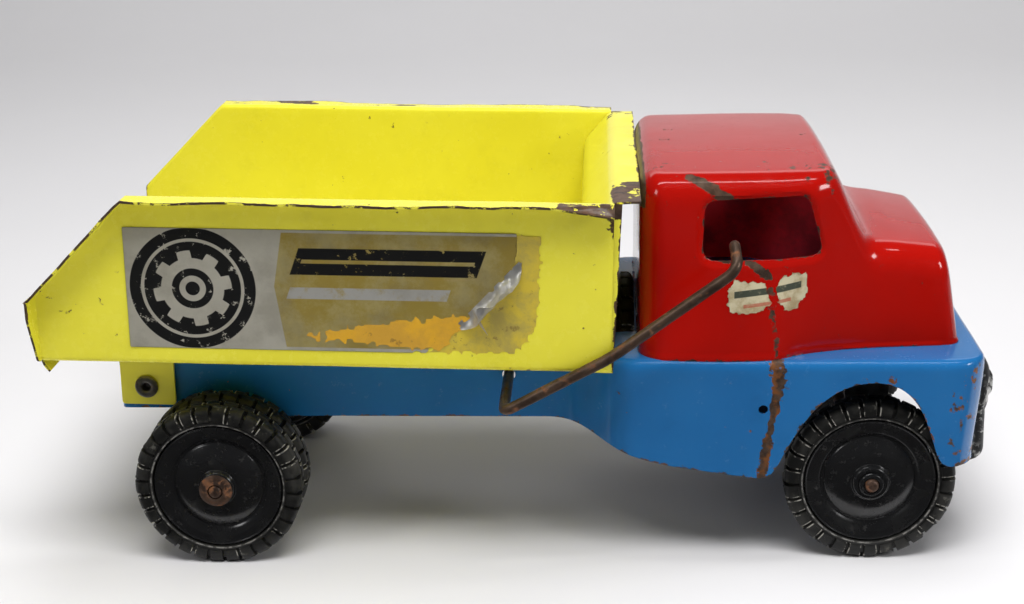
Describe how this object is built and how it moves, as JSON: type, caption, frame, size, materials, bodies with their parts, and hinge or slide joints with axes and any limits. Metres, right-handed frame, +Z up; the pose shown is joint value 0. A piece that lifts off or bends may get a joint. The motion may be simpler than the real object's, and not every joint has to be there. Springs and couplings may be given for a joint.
{
  "type": "toy tip truck",
  "caption": "Pressed-tin toy tip truck with a hinged open tray, a bent-wire tipping lever, dual rear wheels and a spare wheel behind the cab.",
  "frame": {"origin": "middle of the truck on the ground", "axes": "+X forward, +Y to the left side, +Z up"},
  "size_m": [0.4163, 0.202, 0.1789],
  "materials": {
    "yellow_tin": "gloss enamel, chipped to brown steel along the flange edges",
    "red_tin": "high gloss enamel, scratched",
    "blue_tin": "gloss enamel with rust at the edges",
    "tyre_rubber": "matt, dusty",
    "hub_black": "satin to gloss",
    "brown_steel": "brown, tarnished",
    "grey_steel": "dull zinc",
    "worn_plating": "plating worn to black"
  },
  "bodies": {
    "chassis": {"chassis_pressing": "blue_tin", "cab_shell": "red_tin", "grille_bumper": "worn_plating", "rear_axle_bracket": "grey_steel", "front_axle_bracket": "grey_steel", "rear_axle": "brown_steel", "front_axle": "brown_steel", "rear_spacer_right": "grey_steel", "rear_push_nut_right": "brown_steel", "front_spacer_right": "grey_steel", "front_push_nut_right": "hub_black", "hinge_rivet_right": "grey_steel", "rear_spacer_left": "grey_steel", "rear_push_nut_left": "brown_steel", "front_spacer_left": "grey_steel", "front_push_nut_left": "hub_black", "hinge_rivet_left": "grey_steel", "spare_tyre": "tyre_rubber", "spare_disc": "hub_black", "spare_carrier": "blue_tin", "spare_bolt": "grey_steel"},
    "tray": {"tray_pan": "yellow_tin", "tray_front_wall": "yellow_tin", "hinge_bracket_right": "yellow_tin", "hinge_bracket_left": "yellow_tin"},
    "lever": {"lever_rod": "brown_steel", "lever_push_nut": "brown_steel"},
    "rear_outer_wheel_right": {"rear_outer_tyre_right": "tyre_rubber", "rear_outer_disc_right": "hub_black"},
    "rear_inner_wheel_right": {"rear_inner_tyre_right": "tyre_rubber", "rear_inner_disc_right": "hub_black"},
    "front_wheel_right": {"front_tyre_right": "tyre_rubber", "front_disc_right": "hub_black"},
    "rear_outer_wheel_left": {"rear_outer_tyre_left": "tyre_rubber", "rear_outer_disc_left": "hub_black"},
    "rear_inner_wheel_left": {"rear_inner_tyre_left": "tyre_rubber", "rear_inner_disc_left": "hub_black"},
    "front_wheel_left": {"front_tyre_left": "tyre_rubber", "front_disc_left": "hub_black"}
  },
  "joints": [
    {"name": "tray_tilt", "type": "hinge", "parent": "chassis", "child": "tray", "pos_m": [-0.17345, 0, 0.0753], "axis": [0, -1, 0], "range_deg": [0, 30.5]},
    {"name": "lever_swing", "type": "hinge", "parent": "chassis", "child": "lever", "pos_m": [-0.00635, 0, 0.08], "axis": [0, 1, 0], "range_deg": [0, 50]},
    {"name": "rear_outer_spin_right", "type": "hinge", "parent": "chassis", "child": "rear_outer_wheel_right", "pos_m": [-0.13685, 0, 0.038], "axis": [0, 1, 0], "continuous": true},
    {"name": "rear_inner_spin_right", "type": "hinge", "parent": "chassis", "child": "rear_inner_wheel_right", "pos_m": [-0.13685, 0, 0.038], "axis": [0, 1, 0], "continuous": true},
    {"name": "front_spin_right", "type": "hinge", "parent": "chassis", "child": "front_wheel_right", "pos_m": [0.15515, 0, 0.038], "axis": [0, 1, 0], "continuous": true},
    {"name": "rear_outer_spin_left", "type": "hinge", "parent": "chassis", "child": "rear_outer_wheel_left", "pos_m": [-0.13685, 0, 0.038], "axis": [0, 1, 0], "continuous": true},
    {"name": "rear_inner_spin_left", "type": "hinge", "parent": "chassis", "child": "rear_inner_wheel_left", "pos_m": [-0.13685, 0, 0.038], "axis": [0, 1, 0], "continuous": true},
    {"name": "front_spin_left", "type": "hinge", "parent": "chassis", "child": "front_wheel_left", "pos_m": [0.15515, 0, 0.038], "axis": [0, 1, 0], "continuous": true}
  ],
  "couplings": [
    {"joint": "lever_swing", "follows": "tray_tilt", "ratio": 1.6393}
  ]
}
